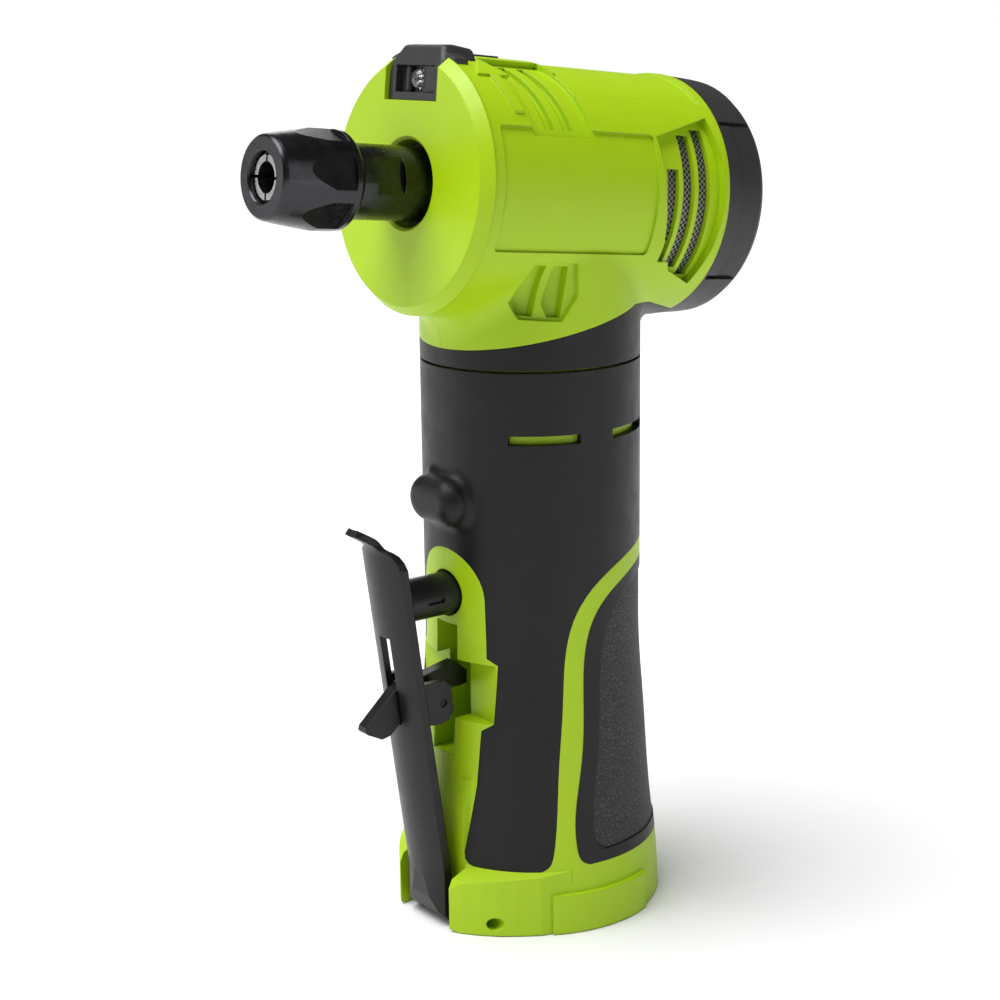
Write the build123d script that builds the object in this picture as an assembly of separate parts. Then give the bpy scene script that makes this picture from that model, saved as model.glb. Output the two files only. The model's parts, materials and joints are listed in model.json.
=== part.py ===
"""Cordless pistol-style die grinder with a straight-through brushless motor in its head.

Frame: the origin is the centre of the battery socket's mouth, +Z runs up the handle,
-Y points towards the collet and +X is the side with the blank label panel.
The head has its own frame, HEAD: local X is the same as X, local Y points up and
local Z runs forward along the spindle. A "station" is a place along the local Z.
"""
import os
from math import cos, radians, sin, sqrt

from build123d import *

# Head
HEAD_HEIGHT = 152.5          # spindle axis above the socket mouth, where it crosses the handle axis
HEAD_TILT = 5.7              # degrees that the collet end points up
BARREL_R = 25.5
BARREL_BACK = -32.5          # station of the rear cap's joint
BARREL_FRONT = 28.3          # station of the nose cover's joint
BARREL_BORE_R = 22.6
NOSE_FACE = 30.9             # station of the flat nose
NOSE_FACE_R = 24.0
NOSE_RIM_R = 25.8
NOSE_HOLE_R = 8.6
CAP_BACK = -45.0
PANEL_DEPTH = 0.5            # blank label panel and top panel
ARROW_RISE = 0.45            # raised turning arrow
STRIP_BACK = 11.5            # rear end of the strip over the lamp's wires
VENT_DEPTH = 1.2             # dished surrounds of the air slots
SLOT_DEPTH = 2.3             # closed slots near the nose

# Handle
GRIP_PROFILE = ((27.2, 0), (26.6, 12), (25.4, 24), (24.2, 42), (23.0, 65))   # radius, height
NECK_R = 23.0
SLEEVE_TOP = 118.3
COLLAR_LOW = 118.8
RUBBER = 1.6                 # thickness of the rubber layers
WALL_INNER_R = 19.4          # clear radius inside the upper handle
NECK_FILLET = 6.0
STOP_BLEND = 2.4             # fillet between the finger stop and the grip
BASE_RING = 13.5             # height of the bare ring at the foot of the handle
SPINE_ARCH_R = 10.2          # arch at the top of the front spine

# Battery socket
SOCKET_R = 19.2
SOCKET_FLAT = -11.0          # flat front wall of the socket
SOCKET_DEPTH = 62.0

# Spindle, collet and nut stations along the head axis
NUT_FACE = 63.5
NUT_BACK = 46.5
COLLAR_FRONT = 45.5
COLLAR_R = 7.3
COLLET_BORE_R = 3.0
THREAD_R = 6.92
NUT_BORE_R = 7.0
NUT_FLATS = 17.8
SPINDLE_FLATS = 12.6
FLATS_TURN = 14.0            # degrees that the flats are turned from the X axis

# Lever and its lock
HINGE_Y, HINGE_Z = -24.0, 2.6
HINGE_PIN_R = 1.4
LEVER_HALF = 6.6
LEVER_ARC_R = 12.0
LEVER_WALL = 1.5
LEVER_FOOT = (-31.0, 6.0)    # outer ridge, y and z
LEVER_KNEE = (-31.9, 14.0)
LEVER_BEND = (-41.4, 84.0)
LEVER_TIP = (-46.3, 87.0)
LOCK_Y, LOCK_Z = -28.4, 49.6
LOCK_PIN_R = 0.9
TAB_HALF = 1.4
PLUNGER_Z = 71.0
PLUNGER_R = 4.45

UP = (Align.CENTER, Align.CENTER, Align.MIN)
HEAD = Plane(
    origin=(0, 0, HEAD_HEIGHT),
    x_dir=(1, 0, 0),
    z_dir=(0, -cos(radians(HEAD_TILT)), sin(radians(HEAD_TILT))),
)


def in_head(shape):
    """Place a shape made in the head's own frame."""
    return HEAD.location * shape


def disc(radius, low, high, bore=0.0):
    """Round solid about local Z between two stations, with an optional through bore."""
    solid = Pos(0, 0, low) * Cylinder(radius, high - low, align=UP)
    if bore:
        solid -= Pos(0, 0, low - 1) * Cylinder(bore, high - low + 2, align=UP)
    return solid


def block(x_range, y_range, z_range):
    """Box between two corners."""
    spans = (x_range, y_range, z_range)
    centre = [(low + high) / 2 for low, high in spans]
    sides = [high - low for low, high in spans]
    return Pos(*centre) * Box(*sides)


def turned(points):
    """Solid of revolution about local Z from (radius, station) points."""
    outline = Polyline(*[(radius, 0, station) for radius, station in points], close=True)
    return revolve(make_face(outline), Axis.Z)


def side_prism(points, x_low, x_high):
    """Outline in (y, z), extruded along X."""
    outline = Polyline(*[(x_low, y, z) for y, z in points], close=True)
    return extrude(make_face(outline), x_high - x_low, dir=(1, 0, 0))


def front_prism(points, y_low, y_high):
    """Outline in (x, z), extruded along Y."""
    outline = Polyline(*[(x, y_low, z) for x, z in points], close=True)
    return extrude(make_face(outline), y_high - y_low, dir=(0, 1, 0))


def rod(start, end, radius):
    """Straight round bar between two points."""
    axis = Vector(*end) - Vector(*start)
    plane = Plane(origin=start, z_dir=axis)
    return plane.location * Cylinder(radius, axis.length, align=UP)


def mirrored(shape):
    """The same shape on the other side of the X = 0 plane."""
    return mirror(shape, Plane.YZ)


def both_sides(shape):
    """A shape and its mirror image across X = 0, as one cutter."""
    return shape + mirrored(shape)


def wire_tube(points, radius, bends):
    """Insulated wire along straight runs joined by tangent arcs."""
    path = FilletPolyline(*points, radius=bends)
    start = path @ 0
    section = Plane(origin=start, z_dir=path % 0) * Circle(radius)
    return sweep(section, path=path)


# ---------------------------------------------------------------- handle shapes

def grip_solid(inset, low, high):
    """Handle's round body, shrunk by inset, between two heights."""
    points = [(radius - inset, 0, height) for radius, height in GRIP_PROFILE]
    side = Spline(*points, tangents=((-0.02, 0, 1), (0, 0, 1)))
    top_r = NECK_R - inset
    rest = Polyline(
        (top_r, 0, GRIP_PROFILE[-1][1]), (top_r, 0, SLEEVE_TOP + 5), (0, 0, SLEEVE_TOP + 5),
        (0, 0, 0), (GRIP_PROFILE[0][0] - inset, 0, 0),
    )
    body = revolve(make_face([side, rest]), Axis.Z)
    return body & block((-40, 40), (-40, 40), (low, high))


def grip_layer(low, high, outer=0.0, inner=RUBBER):
    """Skin of the handle between two insets."""
    return grip_solid(outer, low, high) - grip_solid(inner, low - 1, high + 1)


def spine_region(grow=0.0):
    """Front spine: an arched strip with a wider pocket, and everything in front of the handle axis there."""
    half = [
        (10.4, 12.0), (10.4, 13.4), (8.9, 13.8), (8.0, 14.7), (7.7, 16.2), (8.1, 19.4), (9.6, 31.1),
        (10.1, 43.1), (12.5, 44.8), (12.7, 57.3), (10.5, 58.6), (SPINE_ARCH_R, 70.5),
    ]
    right = [(x + grow, -45, z) for x, z in half]
    left = [(-x, y, z) for x, y, z in reversed(right)]
    arch = ThreePointArc(right[-1], (0, -45, 70.5 + SPINE_ARCH_R + grow), left[0])
    strip = make_face([Polyline(*right), arch, Polyline(*left), Line(left[-1], right[0])])
    return extrude(strip, 45, dir=(0, 1, 0))


def curved_side_region(curve_points, low):
    """Everything behind a smooth curve in the side view, above a given height."""
    points = [(-40, y, z) for y, z in curve_points]
    end_y, end_z = curve_points[-1]
    start_y, start_z = curve_points[0]
    curve = Spline(*points)
    rest = Polyline(points[-1], (-40, 40, end_z), (-40, 40, low), (-40, start_y, low), points[0])
    return extrude(make_face([curve, rest]), 80, dir=(1, 0, 0))


def stripe_outer():
    """Region behind the stripe's front edge."""
    curve = (
        (-16.4, 13.3), (-13.9, 14.6), (-12.9, 17.4), (-10.9, 36.0), (-9.4, 50.0), (-8.3, 61.0),
        (-6.4, 67.5), (-2.8, 72.6), (3.4, 76.6), (15.3, 79.9), (24.0, 80.8),
    )
    return curved_side_region(curve, BASE_RING - 2)


def stripe_inner(grow=0.0, low=BASE_RING + 0.6):
    """Region behind the stripe's rear edge, which the rear grip panel fills."""
    curve = (
        (-5.2, 14.0), (-7.6, 15.3), (-8.3, 18.0), (-6.3, 36.0), (-5.1, 50.0), (-4.1, 61.0),
        (-2.2, 66.5), (1.0, 70.4), (6.0, 73.3), (15.4, 76.0), (24.0, 76.8),
    )
    return curved_side_region([(y + grow, z - grow) for y, z in curve], low)


def inlay_region():
    """Region of the textured inlay inside the rear grip panel."""
    curve = (
        (-2.2, 17.2), (-3.8, 18.4), (-4.2, 20.6), (-2.2, 38.0), (-1.0, 52.0), (0.2, 60.5),
        (2.6, 66.0), (7.0, 70.2), (15.0, 73.0), (24.0, 73.8),
    )
    return curved_side_region(curve, BASE_RING + 3.2)


def finger_stop():
    """Handle above the lever with a rounded bar across its front, blended into it."""
    bar = Pos(0, -20, 91) * (Rot(90, 0, 0) * extrude(SlotOverall(16, 10), 7.5))
    bar = fillet(bar.faces().sort_by(Axis.Y)[0].edges(), 3.6)
    body = grip_solid(0, 80.9, 103) + bar
    foot = [
        edge for edge in body.edges()
        if edge.length < 20 and all(abs(sqrt(v.X ** 2 + v.Y ** 2) - NECK_R) < 0.05 for v in edge.vertices())
        and 83 < edge.center().Z < 99
    ]
    return fillet(foot, STOP_BLEND)


def sleeve_slots():
    """Two long slots on each side, where the housing shows through the sleeve."""
    cutter = None
    for start, end in ((-50.0, -12.7), (7.7, 45.0)):
        reach = 30.0
        middle = radians((start + end) / 2)
        fan = Polyline(
            (0, 0, 103.7),
            (reach * cos(radians(start)), reach * sin(radians(start)), 103.7),
            (1.2 * reach * cos(middle), 1.2 * reach * sin(middle), 103.7),
            (reach * cos(radians(end)), reach * sin(radians(end)), 103.7),
            close=True,
        )
        wedge = extrude(make_face(fan), 1.9, dir=(0, 0, 1))
        cutter = wedge if cutter is None else cutter + wedge
    return both_sides(cutter)


def latch_pads():
    """Slightly proud pads on both sides of the foot, where the battery's catches engage."""
    ring = disc(GRIP_PROFILE[0][0] + 0.75, 0, 8.5) - disc(GRIP_PROFILE[0][0] - 2, -1, 9)
    fan = Polyline((0, 0, 0), (34, -20.4, 0), (40, 0, 0), (34, 12.4, 0), close=True)
    pad = ring & extrude(make_face(fan), 8.5, dir=(0, 0, 1))
    return both_sides(pad)


def foot_cheeks():
    """Nose of the foot: two cheeks that stand either side of the lever's hinge and run into the ring."""
    half = [(0, -30.6), (8.9, -30.2), (11.5, -28.6), (14.6, -26.2), (17.1, -23.8), (19.9, -20.4), (22.6, -16.4)]
    left = [(-x, y) for x, y in reversed(half[1:])]
    plan = Polyline(*[(x, y, 0) for x, y in half + [(24.8, -10.0), (-24.8, -10.0)] + left], close=True)
    cone = turned([(0, 0), (30.9, 0), (31.6, 0.7), (31.6, 9.4), (30.6, 11.6), (26.4, 13.5), (0, 13.5)])
    cheeks = extrude(make_face(plan), 20, dir=(0, 0, 1)) & cone
    flare = side_prism(
        [(-30.2, 8), (-29.6, 11), (-28.5, 14), (-27.0, 18.5), (-25.7, 24), (-24.3, 32), (-16, 32), (-16, 8)], -8.3, 8.3)
    return cheeks + (flare & spine_region())


# ---------------------------------------------------------------- outer envelope

def envelope(barrel_r, neck_r, fillet_r):
    """Barrel and neck joined by a smooth fillet, between the nose and the rear cap."""
    barrel = in_head(disc(barrel_r, BARREL_BACK, BARREL_FRONT))
    neck = disc(neck_r, 100, HEAD_HEIGHT)
    joined = barrel + neck
    crossing = [
        edge for edge in joined.edges()
        if edge.geom_type not in (GeomType.CIRCLE, GeomType.LINE) and edge.length > 20
    ]
    return fillet(crossing, fillet_r)


def above_collar():
    """Region above the black collar, seen from the side."""
    return side_prism(
        [(-45, 117.5), (2.3, 127.8), (12, 129.8), (20, 129.0), (29.2, 126.4), (45, 121.5),
         (45, 200), (-45, 200)], -40, 40)


def side_patch(points, depth, x_low=5.0):
    """Shallow recess on the barrel's side, outlined in (station, height), for both sides."""
    outline = Polyline(*[(x_low, height, station) for station, height in points], close=True)
    prism = extrude(make_face(outline), 30, dir=(1, 0, 0))
    return both_sides(prism & disc(BARREL_R + 3, -40, 40, bore=BARREL_R - depth))


def turned_patch(angle, points, depth):
    """Shallow recess that faces outwards at an angle about the spindle, for both sides."""
    outline = Polyline(*[(10, across, station) for station, across in points], close=True)
    prism = Rot(0, 0, angle) * extrude(make_face(outline), 20, dir=(1, 0, 0))
    ring = disc(BARREL_R + 3, -40, 40, bore=BARREL_R - depth)
    return both_sides(prism & ring)


def low_grooves(depth, shapes):
    """Recesses low on the barrel's side, sunk by one depth below the wall's curve."""
    floor = envelope(BARREL_R - depth, NECK_R - depth, NECK_FILLET + depth)
    cutter = None
    for points in shapes:
        prism = in_head(low_side_prism(points, 8.0))
        cutter = prism if cutter is None else cutter + prism
    return cutter - floor


def low_side_prism(points, x_low):
    """Cutter outlined in (station, height) that runs outwards along X, for both sides."""
    outline = Polyline(*[(x_low, height, station) for station, height in points], close=True)
    return both_sides(extrude(make_face(outline), 24, dir=(1, 0, 0)))


def lower_recess():
    """Dished surround low on the side with two closed slots in it."""
    surround = [(14.2, -13.2), (4.2, -13.2), (3.6, -19.6), (6.4, -24.8), (13.6, -24.8), (15.6, -21.6)]
    slots = [
        [(station + 3.0, -13.9), (station, -13.9), (station + 0.6, -24.1), (station + 3.0, -24.1),
         (station + 4.2, -21.4)]
        for station in (10.4, 5.6)
    ]
    return low_grooves(1.0, [surround]) + low_grooves(2.6, slots)


def label_panel():
    """Blank label panel on each side of the barrel."""
    outline = Pos(0, -0.6, 0) * RectangleRounded(38.8, 23.6, 0.9)
    face = Plane(origin=(5, 0, 6.4), x_dir=(0, 0, 1), z_dir=(1, 0, 0)) * outline
    prism = extrude(face, 30, dir=(1, 0, 0))
    return both_sides(prism & disc(BARREL_R + 3, -40, 40, bore=BARREL_R - PANEL_DEPTH))


def barrel_recesses():
    """Every shallow panel and dished surround on the barrel, in the head's frame."""
    top_panel = turned_patch(70, [(4, -9.2), (-30.2, -9.2), (-30.2, 16), (4, 16)], PANEL_DEPTH)
    upper_slots = turned_patch(52, [(17.5, -11), (2.5, -11), (4.5, 11), (19.5, 11)], VENT_DEPTH)
    rear = side_patch(
        [(-13.8, 12.2), (-29.6, 16.6), (-31.0, 8), (-31.2, 0), (-30.6, -9), (-28.8, -17.2),
         (-21.0, -14.4), (-16.6, -8), (-15.2, 0), (-14.6, 6)], VENT_DEPTH + 0.6)
    return [label_panel(), top_panel, upper_slots, rear]


def barrel_slots():
    """Closed slots near the nose and open air slots at the rear, in the head's frame."""
    cutters = []
    for station in (11.3, 6.8):
        outline = [(station + 2.4, -9.2), (station, -9.2), (station + 2.1, 9.2), (station + 3.9, 9.2)]
        cutters.append(turned_patch(52, outline, SLOT_DEPTH))
    for station, low, high in ((-18.4, -12.6, 6.0), (-22.7, -13.8, 12.8), (-27.0, -15.4, 14.0)):
        slot = block((14, 30), (low, high), (station - 1.55, station + 1.55))
        cutters.append(both_sides(slot))
    return cutters


def arrow_mark():
    """Small raised arrow that shows the way the spindle turns, in the head's frame."""
    outline = Polyline(
        (10, 10.4, 21.6), (10, 4.2, 25.4), (10, 4.2, 22.6), (10, -5.4, 21.2), (10, -5.4, 18.9),
        (10, 4.2, 20.2), (10, 4.2, 17.8), close=True)
    prism = Rot(0, 0, 48) * extrude(make_face(outline), 20, dir=(1, 0, 0))
    return both_sides(prism & disc(BARREL_R + ARROW_RISE, -40, 40, bore=BARREL_R - 0.5))


def battery_bore():
    """Space for the battery's stem: round, with a flat front."""
    bore = disc(SOCKET_R, -1, SOCKET_DEPTH)
    return bore & block((-25, 25), (SOCKET_FLAT, 25), (-1, SOCKET_DEPTH))


def lock_slot_walls():
    """Walls inside the handle around the lock's slot."""
    return block((-5.1, 5.1), (-22.0, SOCKET_FLAT), (30.0, 65.5))


def lever_clearance():
    """Cutter for the lever's hinge, the pocket, the lock's slot and the plunger's hole."""
    hinge_slot = block((-8.8, 8.8), (-45, -19.6), (-1, 9.0))
    channel = block((-8.8, 8.8), (-45, -25.6), (-1, 30))
    pocket = block((-15, 15), (-40, -19.6), (44.6, 57.2))
    lock_slot = block((-3.5, 3.5), (-40, -12.6), (36.5, 64.6))
    pin_hole = Pos(0, HINGE_Y, HINGE_Z) * Rot(0, 90, 0) * Cylinder(HINGE_PIN_R + 0.02, 60)
    plunger_hole = rod((0, -40, PLUNGER_Z), (0, -20.8, PLUNGER_Z), 4.95)
    guide_seat = rod((0, -30, PLUNGER_Z), (0, -15, PLUNGER_Z), 5.6) & block(
        (-10, 10), (-20.8, -15), (60, 80))
    return [hinge_slot, channel, pocket, lock_slot, pin_hole, plunger_hole, guide_seat]


def screw_places():
    """Centres (y, z) of the housing screws, which run along X."""
    return [(16.4, 72.0), (16.4, 108.0), (-15.6, 106.0), (-16.6, 24.0)]


def screw_bosses():
    """Posts inside the handle that the housing screws clamp."""
    posts = None
    for y, z in screw_places():
        post = Pos(0, y, z) * Rot(0, 90, 0) * Cylinder(3.4, 30)
        posts = post if posts is None else posts + post
    return posts & grip_solid(RUBBER, 0, SLEEVE_TOP)


def screw_cutters(shank_r, head_r):
    """Holes for the housing screws: head recess from the -X side, then the shank."""
    cutters = []
    for y, z in screw_places():
        cutters.append(Pos(-10.6, y, z) * Rot(0, -90, 0) * Cylinder(head_r, 30, align=UP))
        cutters.append(Pos(8.0, y, z) * Rot(0, -90, 0) * Cylinder(shank_r, 30, align=UP))
    return cutters


def cut(solid, cutters):
    """Take each cutter away in turn."""
    for cutter in cutters:
        solid -= cutter
    return solid


# ---------------------------------------------------------------- housing and covers

def housing():
    """Moulded housing before it is split: barrel, handle frame, spine, stripes and foot."""
    outer = envelope(BARREL_R, NECK_R, NECK_FILLET)
    core = envelope(BARREL_R - 1.4, NECK_R - RUBBER, NECK_FILLET + 1.4)
    shell = (outer & above_collar()) + (core - block((-40, 40), (-40, 40), (0, 110)))
    shell += grip_solid(RUBBER, 0, 112)
    raised = grip_layer(0, 82)
    ribs = (raised & spine_region()) + (raised & (stripe_outer() - stripe_inner()))
    shell += ribs
    shell += grip_layer(0, BASE_RING)
    shell += latch_pads() + foot_cheeks()
    shell = cut(shell, [in_head(recess) for recess in barrel_recesses()])
    shell -= lower_recess()
    shell += in_head(arrow_mark())
    shell -= disc(WALL_INNER_R, SOCKET_DEPTH, 140)
    shell -= in_head(disc(BARREL_BORE_R, -40, 40))
    shell += lock_slot_walls() & grip_solid(RUBBER, 0, 100)
    shell += screw_bosses() - block((-40, 40), (-40, 40), (118, 200))
    shell -= battery_bore()
    shell = cut(shell, [in_head(slot) for slot in barrel_slots()])
    shell = cut(shell, lever_clearance())
    shell = cut(shell, screw_cutters(1.1, 3.0))
    shell -= in_head(light_bay())
    return shell


def half(solid, side):
    """The part of a solid on one side of the X = 0 joint."""
    keep = block((0, 60), (-80, 80), (-10, 220)) if side > 0 else block((-60, 0), (-80, 80), (-10, 220))
    return solid & keep


def nose_cover():
    """Round front cover with a bevelled rim and the spindle's hole."""
    profile = [
        (NOSE_HOLE_R, 26.8), (NOSE_HOLE_R, NOSE_FACE - 0.6), (NOSE_HOLE_R + 0.6, NOSE_FACE),
        (NOSE_FACE_R, NOSE_FACE), (NOSE_RIM_R, 28.6), (NOSE_RIM_R, BARREL_FRONT),
        (BARREL_BORE_R, BARREL_FRONT), (BARREL_BORE_R, 24.4), (20.6, 24.4), (20.6, 28.0),
        (12.2, 28.0), (12.2, 26.8),
    ]
    return turned(profile) - light_bay()


def rear_cap():
    """Black rear cap with a shallow flat-edged band on each side and a bearing cup."""
    profile = [
        (11.6, -30.2), (9.55, -30.2), (9.55, -38.6), (5.0, -38.6), (5.0, -41.2), (0.0, -41.2),
        (0.0, CAP_BACK), (20.0, CAP_BACK), (22.2, -44.6), (23.9, -43.6), (24.8, -42.0), (25.0, -40.0),
        (BARREL_R - 0.1, BARREL_BACK), (23.0, BARREL_BACK), (22.4, -40.5), (21.0, -42.2), (11.6, -42.2),
    ]
    cap = turned(profile)
    band = block((12, 40), (-15.4, 15.4), (CAP_BACK - 1, -36.0))
    cap -= both_sides(band & disc(30, -60, -30, bore=24.55))
    for height in (-15.8, 15.8):
        groove = block((10, 40), (height - 0.4, height + 0.4), (CAP_BACK + 1.0, -33.2))
        cap -= both_sides(groove & disc(30, -60, -30, bore=24.2))
    for angle in range(45, 360, 90):
        place = Rot(0, 0, angle) * Pos(16.0, 0, 0)
        cap -= place * (disc(2.8, CAP_BACK - 1, CAP_BACK + 1.8) + disc(1.3, CAP_BACK, -41))
    return cap


def neck_collar():
    """Black collar around the neck that sweeps back under the barrel."""
    outer = envelope(BARREL_R, NECK_R, NECK_FILLET)
    core = envelope(BARREL_R - 1.4, NECK_R - RUBBER, NECK_FILLET + 1.4)
    ring = (outer - core) - above_collar()
    ring = ring & block((-40, 40), (-40, 40), (COLLAR_LOW, 150))
    return ring - in_head(disc(BARREL_R - 1.4, -40, 40))


def grip_sleeve():
    """Rubber sleeve of the upper handle, with its two front panels and the finger stop."""
    layer = grip_layer(BASE_RING, SLEEVE_TOP)
    sleeve = (layer - stripe_outer()) - spine_region()
    sleeve += (finger_stop() - grip_solid(RUBBER, 80, 104)) & block((-20, 20), (-40, -8), (81, 102))
    sleeve -= sleeve_slots()
    sleeve -= foot_cheeks()
    return cut(sleeve, screw_cutters(1.1, 3.0))


def rear_grip_panel():
    """Rubber panel on the back of the handle, with a sunk bed for the textured inlay."""
    panel = grip_layer(BASE_RING, 90) & stripe_inner()
    panel -= inlay_region() - grip_solid(1.1, 0, 100)
    return cut(panel, screw_cutters(1.1, 3.0))


def rear_grip_inlay():
    """Textured inlay, just below the level of the panel around it."""
    inlay = grip_layer(BASE_RING, 90, outer=0.25, inner=1.1) & inlay_region()
    return cut(inlay, screw_cutters(1.1, 3.0))


# ---------------------------------------------------------------- work light

def light_outline():
    """Sloped hood of the work light before it is trimmed to the barrel."""
    hood = side_prism(
        [(16.0, 0), (16.0, 8.9), (23.0, 8.9), (26.7, 7.4), (27.0, 5.0), (26.4, 0)], -8.6, 8.6)
    hood = Pos(0, 0, 21.0) * hood
    corners = front_prism_xy([(-8.6, 16), (8.6, 16), (8.6, 23.6), (6.2, 27.4), (-6.2, 27.4), (-8.6, 23.6)])
    hood = hood & corners
    return fillet([edge for edge in hood.edges() if edge.center().Y > 22.0], 1.3)


def front_prism_xy(points):
    """Outline in the head's (x, y), extruded along the spindle."""
    outline = Polyline(*[(x, y, 0) for x, y in points], close=True)
    return extrude(make_face(outline), 40, dir=(0, 0, 1))


def light_bay():
    """Notch in the barrel and the nose cover that takes the work light."""
    front = block((-8.6, 8.6), (16.0, 30), (27.0, 40))
    back = block((-6.2, 6.2), (23.4, 30), (20.6, 27.0))
    strip = block((-2.0, 2.0), (24.6, 30), (STRIP_BACK, 20.6))
    return front + back + strip


def light_housing():
    """Black hood of the work light: window frame, sloped hood and side wings."""
    shape = light_outline()
    front = block((-9, 9), (16, 30), (27.0, 29.9))
    back = block((-6.2, 6.2), (23.4, 30), (20.6, 27.0))
    shape = shape & (front + back + disc(30, 20.6, 29.9, bore=BARREL_R))
    wings = disc(BARREL_R + 0.9, 25.2, 29.6, bore=BARREL_R) & block((-10.4, 10.4), (20, 30), (25.2, 29.6))
    wings = wings & disc(40, 25.2, 28.3)
    shape += wings
    shape -= block((-6.4, 6.4), (17.6, 22.8), (28.3, 31))
    shape -= block((-4.0, 4.0), (18.2, 22.2), (27.4, 29))
    return shape


def light_wire_cover():
    """Thin black strip over the lamp's wires along the top of the barrel."""
    return block((-2.0, 2.0), (24.6, 30), (STRIP_BACK, 20.6)) & disc(BARREL_R + 0.35, 0, 30)


def light_board():
    """Small board behind the lamp."""
    return block((-4.0, 4.0), (18.2, 22.2), (27.4, 28.2)) & disc(30, 27.4, 28.2)


def light_lens():
    """Clear domed lamp in its window."""
    dome = Pos(0, 20.2, 28.2) * Cylinder(1.9, 0.9, align=UP)
    ball = Pos(0, 20.2, 28.2) * Sphere(2.2)
    return dome + (ball & block((-1.9, 1.9), (18.2, 22.2), (29.0, 31)) & (Pos(0, 20.2, 0) * disc(1.9, 20, 40)))


# ---------------------------------------------------------------- motor and drive

def vent_screen():
    """Woven dust screen inside the rear air slots."""
    ring = disc(BARREL_BORE_R, -31.0, -15.0, bore=BARREL_BORE_R - 0.6)
    return ring & block((10, 30), (-16.0, 14.8), (-31.0, -15.0))


def bearing_plate():
    """Aluminium plate that carries the front bearing."""
    plate = disc(BARREL_BORE_R, 21.0, 24.3) + disc(14.6, 18.8, 26.7)
    plate -= disc(12.0, 19.8, 27.0)
    plate -= disc(10.6, 18.0, 20.0)
    for angle in range(0, 360, 60):
        plate -= Rot(0, 0, angle) * Pos(18.4, 0, 0) * disc(1.9, 20, 25)
    return plate


def dust_seal():
    """Felt ring around the spindle behind the nose cover."""
    return disc(11.9, 26.1, 26.75, bore=7.42)


def bearing_outer(back, width, bore_r, outer_r):
    """Outer ring of a ball bearing with its balls and shields."""
    middle = back + width / 2
    pitch = (bore_r + outer_r) / 2
    ball = 0.23 * (outer_r - bore_r)
    ring = disc(outer_r, back, back + width, bore=outer_r - 0.24 * (outer_r - bore_r))
    groove_r = ball + 0.02
    groove = revolve(Pos(pitch, 0, middle) * (Rot(90, 0, 0) * Circle(groove_r)), Axis.Z)
    ring -= groove
    shield_in = bore_r + 0.3 * (outer_r - bore_r)
    shield_out = outer_r - 0.24 * (outer_r - bore_r)
    for low in (back + 0.3, back + width - 0.7):
        ring += disc(shield_out, low, low + 0.4, bore=shield_in)
    pieces = [ring]
    for angle in range(0, 360, 45):
        pieces.append(Rot(0, 0, angle) * Pos(pitch, 0, middle) * Sphere(ball))
    return Compound(children=pieces)


def bearing_inner(back, width, bore_r, outer_r):
    """Inner ring of a ball bearing."""
    middle = back + width / 2
    pitch = (bore_r + outer_r) / 2
    ball = 0.23 * (outer_r - bore_r)
    ring = disc(bore_r + 0.24 * (outer_r - bore_r), back, back + width, bore=bore_r)
    groove = revolve(Pos(pitch, 0, middle) * (Rot(90, 0, 0) * Circle(ball + 0.05)), Axis.Z)
    return ring - groove


FRONT_BEARING = (20.0, 6.0, 6.0, 12.0)
REAR_BEARING = (-36.6, 6.0, 4.0, 9.5)


def wave_spring():
    """Wavy washer that preloads the rear bearing."""
    return disc(9.2, -38.3, -36.9, bore=7.0)


def stator_core():
    """Laminated stator: a ring with six teeth."""
    core = disc(19.8, -18, 1, bore=16.4)
    for angle in range(0, 360, 60):
        tooth = block((11.2, 17.0), (-2.0, 2.0), (-18, 1))
        tip = block((10.4, 12.4), (-4.4, 4.4), (-18, 1)) & disc(40, -18, 1, bore=10.7)
        core += Rot(0, 0, angle) * (tooth + tip)
    for angle in (30, 150, 270):
        core -= Rot(0, 0, angle) * Pos(20.6, 0, 0) * disc(1.6, -20, 3)
    return core


def stator_windings():
    """Six copper coils, one around each tooth."""
    coils = []
    for angle in range(0, 360, 60):
        coil = block((12.7, 15.7), (-4.2, 4.2), (-21.0, 4.0)) - block((12.0, 17.0), (-2.1, 2.1), (-18.1, 1.1))
        corners = [edge for edge in coil.edges().filter_by(Axis.X) if not -18.5 < edge.center().Z < 1.5]
        coil = fillet(corners, 1.8)
        coils.append(Rot(0, 0, angle) * coil)
    return Compound(children=coils)


def sensor_board():
    """Ring-shaped board with the rotor position sensors."""
    board = disc(18.6, -24.6, -23.0, bore=8.4)
    for angle in (30, 90, 150):
        board += Rot(0, 0, angle) * block((9.6, 12.6), (-1.4, 1.4), (-23.0, -22.0))
    return board


def rotor_core():
    """Laminated rotor body on the shaft."""
    return disc(8.2, -18, 1, bore=5.0)


def rotor_magnets():
    """Four curved magnets around the rotor body."""
    magnets = []
    shell = disc(9.9, -18, 1, bore=8.2)
    for angle in range(0, 360, 90):
        fan = Polyline((0, 0, -18), (20, 17.5, -18), (30, 0, -18), (20, -17.5, -18), close=True)
        magnet = shell & extrude(make_face(fan), 19, dir=(0, 0, 1))
        magnets.append(Rot(0, 0, angle + 45) * magnet)
    return Compound(children=magnets)


def cooling_fan():
    """Fan behind the front bearing, with swept blades on a disc."""
    fan = disc(7.6, 6.4, 15.0, bore=5.0) + disc(19.5, 6.4, 7.6, bore=5.0)
    for index in range(11):
        blade = Rot(0, 0, 22) * block((0.2, 14.0), (-0.6, 0.6), (7.0, 13.6))
        blade = Pos(6.2, 0, 0) * blade
        fan += Rot(0, 0, index * 360 / 11) * (blade & disc(19.4, 6, 15))
    return fan & disc(19.5, 6, 15, bore=5.0)


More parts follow.
